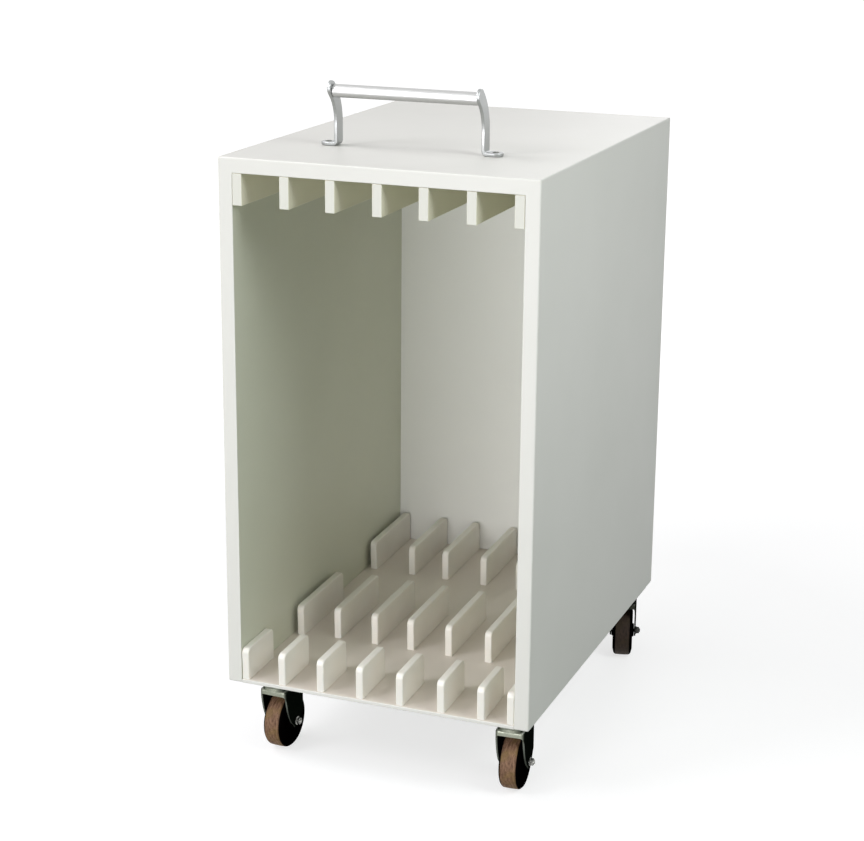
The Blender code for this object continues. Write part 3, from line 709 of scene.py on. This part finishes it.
def bracket_stations(side):
    """From the foot's round end to the top's round end. The side is 1 on the right and -1 on the left."""
    inward = Vector((-side, 0, 0))
    foot = Vector((side * (FOOT_REACH - BAR_WIDTH / 2), 0, BAR_THICKNESS / 2))
    stations = [(foot, inward, BACK, -math.pi / 2 * (1 - i / END_STEPS)) for i in range(END_STEPS + 1)]
    hinge = Vector((side * BEND_RADIUS, 0, BAR_THICKNESS / 2 + BEND_RADIUS))
    for i in range(BEND_STEPS + 1):
        turn = math.pi / 2 * i / BEND_STEPS
        forward = inward * math.cos(turn) + UP * math.sin(turn)
        outward = inward * math.sin(turn) - UP * math.cos(turn)
        stations.append((hinge + outward * BEND_RADIUS, forward, BACK, 0))
    for i in range(CURVE_STEPS + 1):
        turn = lean * i / CURVE_STEPS
        across = BACK * math.cos(turn) + UP * math.sin(turn)
        forward = UP * math.cos(turn) - BACK * math.sin(turn)
        centre = UP * STRAIGHT - BACK * curve_radius + across * curve_radius
        stations.append((centre, forward, across, 0))
    tip = stations[-1][0] + forward * TIP
    return stations + [(tip, forward, across, math.pi / 2 * i / END_STEPS) for i in range(END_STEPS + 1)]


tube_low, tube_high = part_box("handle_tube")
handle_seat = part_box("handle_bracket_left")[0].z
handle_y = (tube_low.y + tube_high.y) / 2 + TUBE_AHEAD
bar_places = {"left": (tube_low.x, -1), "right": (tube_high.x, 1)}
for name, (end, side) in bar_places.items():
    bar_x = end + side * (BAR_THICKNESS / 2 + BAR_TO_TUBE)
    bracket = f"bracket_{name}"
    mesh = strip_mesh(bracket, bracket_stations(side), BAR_WIDTH / 2, BAR_THICKNESS / 2, BAR_EDGE)
    place = Matrix.Translation((bar_x, handle_y, handle_seat))
    add_piece(bracket, mesh, chrome, "cabinet", [f"handle_{bracket}"], place)
    bar_places[name] = (bar_x, side)
print("handle brackets at x =", [round(x / MM, 1) for x, side in bar_places.values()], "mm")

# %% [markdown]
# The tube is drawn steel tube, cut square and deburred, and held between the brackets.

# %% Handle tube
TUBE_RADIUS, TUBE_WALL, DEBURR = 8 * MM, 1.5 * MM, 0.4 * MM
half = (tube_high.x - tube_low.x) / 2
bore = TUBE_RADIUS - TUBE_WALL
profile = [
    (bore, half, 0), (TUBE_RADIUS, half, DEBURR), (TUBE_RADIUS, -half, DEBURR), (bore, -half, 0),
]
LIE_ACROSS = Matrix.Rotation(math.pi / 2, 4, "Y")
tube = turned_mesh("grip_tube", rounded(profile, steps=3), steps=96, closed=True)
middle = (tube_low + tube_high) / 2
tube.transform(Matrix.Translation(middle) @ LIE_ACROSS)
add_piece("grip_tube", tube, tube_chrome_with_painted_reflection, "cabinet", ["handle_tube"])
print("grip tube:", round(2 * half / MM, 1), "mm long")

# %% [markdown]
# A countersunk screw holds each foot down. Its head is turned, then a cross is cut in it by a Boolean,
# which takes one shape out of another as a milling cutter would.

# %% Handle screws
HEAD_RADIUS, HEAD_RISE, HEAD_DEPTH, HEAD_LIFT = 4.2 * MM, 0.35 * MM, 2.0 * MM, 0.1 * MM
SLOT_LENGTH, SLOT_WIDTH, SLOT_DEPTH = 4.6 * MM, 1.0 * MM, 1.4 * MM
HEAD_RIM, HEAD_TURN = 0.15 * MM, 0.4


def evaluated(mesh, cutters=(), **modifiers):
    """The mesh after Booleans with the cutters, and after modifiers given as KIND={setting: value}."""
    holder = bpy.data.objects.new("holder", mesh)
    bpy.context.scene.collection.objects.link(holder)
    tools = []
    for cutter in cutters:
        tool = bpy.data.objects.new("cutter", cutter)
        bpy.context.scene.collection.objects.link(tool)
        boolean = holder.modifiers.new("cut", "BOOLEAN")
        boolean.object = tool
        boolean.solver = "EXACT"
        tools.append(tool)
    for kind, settings in modifiers.items():
        modifier = holder.modifiers.new(kind, kind)
        for setting, value in settings.items():
            setattr(modifier, setting, value)
    result = holder.evaluated_get(bpy.context.evaluated_depsgraph_get())
    made = bpy.data.meshes.new_from_object(result)
    for helper in [holder, *tools]:
        bpy.data.objects.remove(helper)
    return made


def screw_head_mesh(name, radius, dome, depth):
    """A screw head with a cross recess. Its rim is at Z = 0."""
    profile = [
        (0, -depth, 0), (radius * 0.5, -depth, 0), (radius, 0, 0),
        (radius * 0.96, HEAD_RIM, 0), (radius * 0.6, dome, 0), (0, dome * 1.15, 0),
    ]
    head = turned_mesh(name, rounded(profile, closed=False), steps=40)
    cross = []
    for long_side, short_side in ((SLOT_LENGTH, SLOT_WIDTH), (SLOT_WIDTH, SLOT_LENGTH)):
        low = (-long_side / 2, -short_side / 2, dome - SLOT_DEPTH)
        high = (long_side / 2, short_side / 2, dome + SLOT_DEPTH)
        cross.append(mesh_of(board_shape(low, high), "cross"))
    return evaluated(head, cross)


handle_screw = screw_head_mesh("handle_screw", HEAD_RADIUS, HEAD_RISE, HEAD_DEPTH)
for name, (bar_x, side) in bar_places.items():
    seat = (bar_x + side * (FOOT_REACH - BAR_WIDTH / 2), handle_y, handle_seat + BAR_THICKNESS + HEAD_LIFT)
    place = Matrix.Translation(seat) @ Matrix.Rotation(HEAD_TURN, 4, "Z")
    add_piece(f"handle_screw_{name}", handle_screw, bright_zinc, "cabinet", place=place)

# %% [markdown]
# ## Casters
# All four casters are alike and differ only in how they were left turned. The plate on the cabinet gives
# the kingpin's place, and the line from kingpin to wheel centre gives the turn. One function adds a piece
# to a caster, in a darker copy of its finish, painted shade, if the caster is at the rear.

# %% Caster places
NAMES = ("front_left", "front_right", "rear_left", "rear_right")
FIT_GAP = 0.3 * MM
AXLE_DROP, TRAIL = 69.6 * MM, 18.7 * MM
kingpins, swivels, axles = {}, {}, {}
for name in NAMES:
    low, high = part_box(f"caster_{name}_plate")
    pin = Vector(((low.x + high.x) / 2, (low.y + high.y) / 2, high.z + FIT_GAP))
    low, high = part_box(f"caster_{name}_wheel")
    lead = (low + high) / 2 - pin
    turn = math.atan2(-lead.x, lead.y)
    kingpins[name] = Matrix.Translation(pin)
    swivels[name] = kingpins[name] @ Matrix.Rotation(turn, 4, "Z")
    axles[name] = swivels[name] @ Matrix.Translation((0, TRAIL, -AXLE_DROP)) @ LIE_ACROSS
    print("caster", name, "turned", round(math.degrees(turn), 1), "degrees")


def add_caster_piece(name, part, mesh, finish, body, place, node=None):
    """Add a part to the caster of this name. Node is the ending of the CAD node that it stands for."""
    # Rear casters take the darker copies, painted shade.
    finish = PAINTED_SHADE_COPIES[finish] if name.startswith("rear") else finish
    stands_for = [f"caster_{name}_{node}"] if node else ()
    add_piece(f"caster_{name}_{part}", mesh, finish, body, stands_for, place)


# %% [markdown]
# A caster hangs from a stamped plate with rounded corners, held by four pan head screws. Under it the
# swivel head is turned in one profile: the ball race's housing, the neck, the kingpin, and the rivet that
# closes it below the crown. Head and kingpin stay with the cabinet, and the lower race goes round with the
# fork.

# %% Plates and swivel heads
PLATE_HALF_WIDTH, PLATE_HALF_LENGTH, PLATE_THICKNESS, PLATE_CORNER = 25 * MM, 30 * MM, 3 * MM, 6 * MM
PLATE_EDGE, CROWN_DROP, SHEET = 0.5 * MM, 18.7 * MM, 2.2 * MM
HOUSING_RADIUS, NECK_RADIUS, PIN_RADIUS, RIVET_RADIUS, RIVET_END = 18 * MM, 11.5 * MM, 5 * MM, 9 * MM, 6 * MM
HOUSING_BOTTOM, NECK_TOP, RIVET_SIDE, RIVET_DEPTH = -9.3 * MM, -14.3 * MM, 1.2 * MM, 2.5 * MM
RACE_BORE, RACE_RADIUS, RACE_LIFT, RACE_SHOULDER = 12.4 * MM, 17.2 * MM, 0.05 * MM, 3.6 * MM
corners = [(x * PLATE_HALF_WIDTH, y * PLATE_HALF_LENGTH, PLATE_CORNER) for x, y in QUARTERS]
plate = slab_mesh("mounting_plate", rounded(corners, steps=8), PLATE_THICKNESS, PLATE_EDGE)
plate.transform(Matrix.Translation((0, 0, -FIT_GAP - PLATE_THICKNESS)))
under_plate = -FIT_GAP - PLATE_THICKNESS
crown = -CROWN_DROP
below_crown = crown - SHEET - FIT_GAP
head_profile = [
    (0, under_plate + MM, 0), (HOUSING_RADIUS, under_plate + MM, 0),
    (HOUSING_RADIUS, HOUSING_BOTTOM, 1.5 * MM), (NECK_RADIUS, NECK_TOP, 1.5 * MM),
    (NECK_RADIUS, crown + FIT_GAP, 0), (PIN_RADIUS, crown + FIT_GAP, 0), (PIN_RADIUS, below_crown, 0),
    (RIVET_RADIUS, below_crown, 0), (RIVET_RADIUS, below_crown - RIVET_SIDE, 0.6 * MM),
    (RIVET_END, below_crown - RIVET_DEPTH, 1 * MM), (0, below_crown - RIVET_DEPTH, 0),
]
head = turned_mesh("swivel_head", rounded(head_profile, closed=False), steps=64)
race_profile = [
    (RACE_BORE, crown + RACE_LIFT, 0), (RACE_RADIUS, crown + RACE_LIFT, 0),
    (RACE_RADIUS, crown + RACE_SHOULDER, 0.8 * MM), (15.6 * MM, crown + 5.2 * MM, 0.6 * MM),
    (14.4 * MM, crown + RACE_SHOULDER, 0.6 * MM), (RACE_BORE, crown + 2.4 * MM, 0.4 * MM),
]
race = turned_mesh("lower_race", rounded(race_profile, steps=3), steps=64, closed=True)

# %% Plate screws
PAN_RADIUS, PAN_RISE, PAN_DEPTH = 4 * MM, 2.2 * MM, 0.3 * MM
SCREW_X, SCREW_Y, SCREW_TURN = 18.5 * MM, 23.5 * MM, 0.7
pan_head = screw_head_mesh("pan_head", PAN_RADIUS, PAN_RISE, PAN_DEPTH)
screw_set = bmesh.new()
face_down = Matrix.Rotation(math.pi, 4, "X")
for i, (x, y) in enumerate(QUARTERS):
    one = pan_head.copy()
    turned = face_down @ Matrix.Rotation(SCREW_TURN * i, 4, "Z")
    one.transform(Matrix.Translation((x * SCREW_X, y * SCREW_Y, under_plate)) @ turned)
    screw_set.from_mesh(one)
plate_screws = mesh_of(screw_set, "plate_screws")
for name in NAMES:
    place = kingpins[name]
    add_caster_piece(name, "mounting_plate", plate, zinc, "cabinet", place, "plate")
    add_caster_piece(name, "head", head, zinc, "cabinet", place)
    add_caster_piece(name, "plate_screws", plate_screws, bright_zinc, "cabinet", place)
    add_caster_piece(name, "race", race, zinc, f"fork_{name}", swivels[name])

# %% [markdown]
# ### Forks
# A fork is pressed from one sheet: a flat crown, a wall bent down all round its front, low in the middle
# and deep at the sides, where it makes the two arms. So the wall is drawn as one path in plan, each point
# of which knows how far down its lower edge is. Solidify then gives the sheet its thickness inwards, and a
# small bevel breaks the sheared edges, which is where the light catches.

# %% The arm's lower edge
FRONT_REACH, REAR_REACH, LIP_HEIGHT, REAR_HEIGHT, TIP_RADIUS = 12.3 * MM, 36 * MM, 7.5 * MM, 39 * MM, 8.5 * MM
HALF_WIDTH, WALL_CORNER, SHEET_BEND, TIP_STEPS = 18.4 * MM, 4.5 * MM, 3 * MM, 14
ARM_FRONT = ((-11.4, -27.6), (-10.2, -30), (-8.8, -34), (-7, -41), (-4.8, -49.5), (-1.4, -58), (3.2, -66))


def tangent_angle(centre, radius, point, side):
    """Where on a circle the tangent from a point touches, as an angle about the centre."""
    across, up = point[0] - centre[0], point[1] - centre[1]
    return math.atan2(up, across) + side * math.acos(radius / math.hypot(across, up))


axle_centre = (TRAIL, -AXLE_DROP)
lip = (-FRONT_REACH, crown - LIP_HEIGHT)
heel = (REAR_REACH, crown - REAR_HEIGHT)
arm_front = [(y * MM, z * MM) for y, z in ARM_FRONT]
front_touch = tangent_angle(axle_centre, TIP_RADIUS, arm_front[-1], 1) % math.tau
rear_touch = tangent_angle(axle_centre, TIP_RADIUS, heel, -1) % math.tau
lower_edge = [lip, *arm_front, *arc(axle_centre, TIP_RADIUS, front_touch, rear_touch, TIP_STEPS), heel]


def edge_height(y):
    """How high the wall's lower edge is, at a distance behind the kingpin."""
    for (y0, z0), (y1, z1) in zip(lower_edge, lower_edge[1:]):
        if y <= y1:
            return z0 + (z1 - z0) * (y - y0) / (y1 - y0)
    return lower_edge[-1][1]


# %% Fork
WALL_ROWS, SHEET_BEND_STEPS, CORNER_STEPS, REAR_STEPS = 6, 5, 7, 6
HOLE_RADIUS, SHEARED_EDGE, SHARP_ABOVE = 5.3 * MM, 0.4 * MM, math.radians(50)
half_path = [((x * MM, -FRONT_REACH), (0, -1)) for x in (0, 4, 8)]
corner_middle = (HALF_WIDTH - WALL_CORNER, WALL_CORNER - FRONT_REACH)
for x, y in arc((0, 0), 1, -math.pi / 2, 0, CORNER_STEPS):
    half_path.append(((corner_middle[0] + WALL_CORNER * x, corner_middle[1] + WALL_CORNER * y), (x, y)))
arm_ys = [y for y, z in lower_edge[1:-1] if y > corner_middle[1] + 0.5 * MM] + [30 * MM, 33 * MM, REAR_REACH]
half_path += [((HALF_WIDTH, y), (1, 0)) for y in arm_ys]
plan = [((-x, y), (-nx, ny)) for (x, y), (nx, ny) in reversed(half_path[1:])] + half_path
shape = bmesh.new()
columns = []
for (x, y), (nx, ny) in plan:
    column = []
    for i in range(SHEET_BEND_STEPS + 1):
        bend = math.pi / 2 * i / SHEET_BEND_STEPS
        inset = SHEET_BEND * (1 - math.sin(bend))
        column.append((x - nx * inset, y - ny * inset, crown - SHEET_BEND * (1 - math.cos(bend))))
    start, end = crown - SHEET_BEND, min(edge_height(y), crown - LIP_HEIGHT)
    column += [(x, y, start + (end - start) * (i + 1) / WALL_ROWS) for i in range(WALL_ROWS)]
    columns.append([shape.verts.new(point) for point in column])
for first, second in zip(columns, columns[1:]):
    for i in range(len(first) - 1):
        shape.faces.new((first[i], first[i + 1], second[i + 1], second[i]))
rim = [column[0] for column in columns]
start, end = rim[-1].co.copy(), rim[0].co.copy()
rim += [shape.verts.new(start.lerp(end, i / REAR_STEPS)) for i in range(1, REAR_STEPS)]
hole = []
for vertex in rim:
    out = Vector((vertex.co.x, vertex.co.y, 0)).normalized() * HOLE_RADIUS
    hole.append(shape.verts.new((out.x, out.y, crown)))
for i in range(len(rim)):
    shape.faces.new((rim[i - 1], rim[i], hole[i], hole[i - 1]))
bmesh.ops.recalc_face_normals(shape, faces=shape.faces)
shape.faces.ensure_lookup_table()
if shape.faces[-1].normal.z < 0:
    bmesh.ops.reverse_faces(shape, faces=shape.faces)
sheet = bpy.data.meshes.new("fork_sheet")
shape.to_mesh(sheet)
shape.free()
fork = evaluated(
    sheet,
    SOLIDIFY={"thickness": SHEET, "offset": -1, "use_even_offset": True},
    BEVEL={"width": SHEARED_EDGE, "segments": 2, "limit_method": "ANGLE", "angle_limit": SHARP_ABOVE},
)
for name in NAMES:
    add_caster_piece(name, "pressed_fork", fork, zinc, f"fork_{name}", swivels[name], "fork")
print("fork sheet:", len(fork.polygons), "faces")

# %% [markdown]
# ### Wheels
# The wheel is moulded and then turned: a nearly flat tread, rounded shoulders, tapered flanks, a shallow
# dish and a hub. Its profile is drawn from the bore outwards on one side and mirrored for the other.

# %% Wheel
BORE, HUB_HALF, WHEEL_RADIUS = 4.6 * MM, 15.9 * MM, 35.8 * MM
WEB_HALF, DISH_EDGE, DISH_RIM = 12.2 * MM, 22.5 * MM, 13.9 * MM
side_profile = [
    (BORE, HUB_HALF, 0), (9 * MM, HUB_HALF, 0.8 * MM),
    (10.5 * MM, WEB_HALF, 1.2 * MM), (DISH_EDGE, WEB_HALF, 1.5 * MM),
    (24.5 * MM, DISH_RIM, 1.0 * MM), (27 * MM, 13.8 * MM, 3 * MM), (33.2 * MM, 12.2 * MM, 3 * MM),
    (35.5 * MM, 9.9 * MM, 2.4 * MM), (WHEEL_RADIUS, 4 * MM, 0),
]
other_side = [(radius, -height, corner) for radius, height, corner in reversed(side_profile)]
wheel = turned_mesh("moulded_wheel", rounded(side_profile + other_side, steps=4), steps=96, closed=True)
BUSH_BORE, BUSH_RADIUS, BUSH_HALF, BUSH_EDGE = 2.8 * MM, 4.5 * MM, HUB_HALF + 0.15 * MM, 0.3 * MM
bush_profile = [
    (BUSH_BORE, BUSH_HALF, 0), (BUSH_RADIUS, BUSH_HALF, BUSH_EDGE),
    (BUSH_RADIUS, -BUSH_HALF, BUSH_EDGE), (BUSH_BORE, -BUSH_HALF, 0),
]
bush = turned_mesh("wheel_bush", rounded(bush_profile, steps=2), steps=32, closed=True)
for name in NAMES:
    body = f"wheel_{name}"
    add_caster_piece(name, "moulded_wheel", wheel, phenolic, body, axles[name], "wheel")
    add_caster_piece(name, "bush", bush, bright_zinc, body, axles[name])
print("wheel:", round(2 * WHEEL_RADIUS / MM, 1), "mm across")

# %% [markdown]
# ### Axle bolt and nut
# Hexagon heads and nuts are chamfered on a lathe, which cuts each corner back in a curve. So a hexagon here
# is a ring of points whose reach follows the six flats, and the chamfer's depth follows how far a point
# reaches beyond the chamfer's circle. The nut stands on its round flange.

# %% Bolt and nut
ACROSS_FLATS, SHANK, SHANK_TIP, HEX_SEAT = 8 * MM, 2.5 * MM, 6.4 * MM, 0.02 * MM
CHAMFER_CIRCLE, HEX_STEPS = ACROSS_FLATS / 2 * 0.96, 48
NUT_HEIGHT, NUT_FLANGE, NUT_BASE = 5 * MM, (5.6 * MM, 1.0 * MM), 1.5 * MM
HEX_HEAD_HEIGHT, HEAD_FLANGE = 3.5 * MM, (4.4 * MM, 0.4 * MM)


def hex_mesh(name, height, base, flange, bore):
    """A chamfered hexagon on a flange, from Z = 0 up. Flange is (radius, height) and bore is a radius."""
    shape = bmesh.new()
    rings = []
    for i in range(HEX_STEPS):
        turn = math.tau * i / HEX_STEPS
        flat = (turn + math.pi / 6) % (math.pi / 3) - math.pi / 6
        reach = ACROSS_FLATS / 2 / math.cos(flat)
        chamfer = (reach - CHAMFER_CIRCLE) * math.tan(math.pi / 6)
        profile = [(bore, height), (CHAMFER_CIRCLE, height), (reach, height - chamfer), (reach, base)]
        profile += [flange, (flange[0], 0), (bore, 0)]
        rings.append([shape.verts.new((r * math.cos(turn), r * math.sin(turn), z)) for r, z in profile])
    for i, ring in enumerate(rings):
        for j in range(len(ring)):
            shape.faces.new((rings[i - 1][j - 1], ring[j - 1], ring[j], rings[i - 1][j]))
    return mesh_of(shape, name)


nut = hex_mesh("flange_nut", NUT_HEIGHT, NUT_BASE, NUT_FLANGE, SHANK + 0.1 * MM)
nut.transform(Matrix.Translation((0, 0, HALF_WIDTH + HEX_SEAT)))
head_hex = hex_mesh("bolt_head", HEX_HEAD_HEIGHT, HEAD_FLANGE[1], HEAD_FLANGE, 0.05 * MM)
head_hex.transform(Matrix.Translation((0, 0, -HALF_WIDTH - HEX_SEAT)) @ face_down)
tip_height = HALF_WIDTH + SHANK_TIP
shank_profile = [
    (0, -HALF_WIDTH - MM, 0), (SHANK, -HALF_WIDTH - MM, 0), (SHANK, tip_height, 0.9 * MM), (0, tip_height, 0),
]
shank = turned_mesh("bolt_shank", rounded(shank_profile, steps=4, closed=False), steps=32)
bolt_shape = bmesh.new()
for part in (head_hex, shank):
    bolt_shape.from_mesh(part)
bolt = mesh_of(bolt_shape, "axle_bolt")
for name in NAMES:
    body = f"fork_{name}"
    for part, mesh in (("bolt", bolt), ("nut", nut)):
        add_caster_piece(name, part, mesh, bright_zinc, body, axles[name], f"axle_{part}")
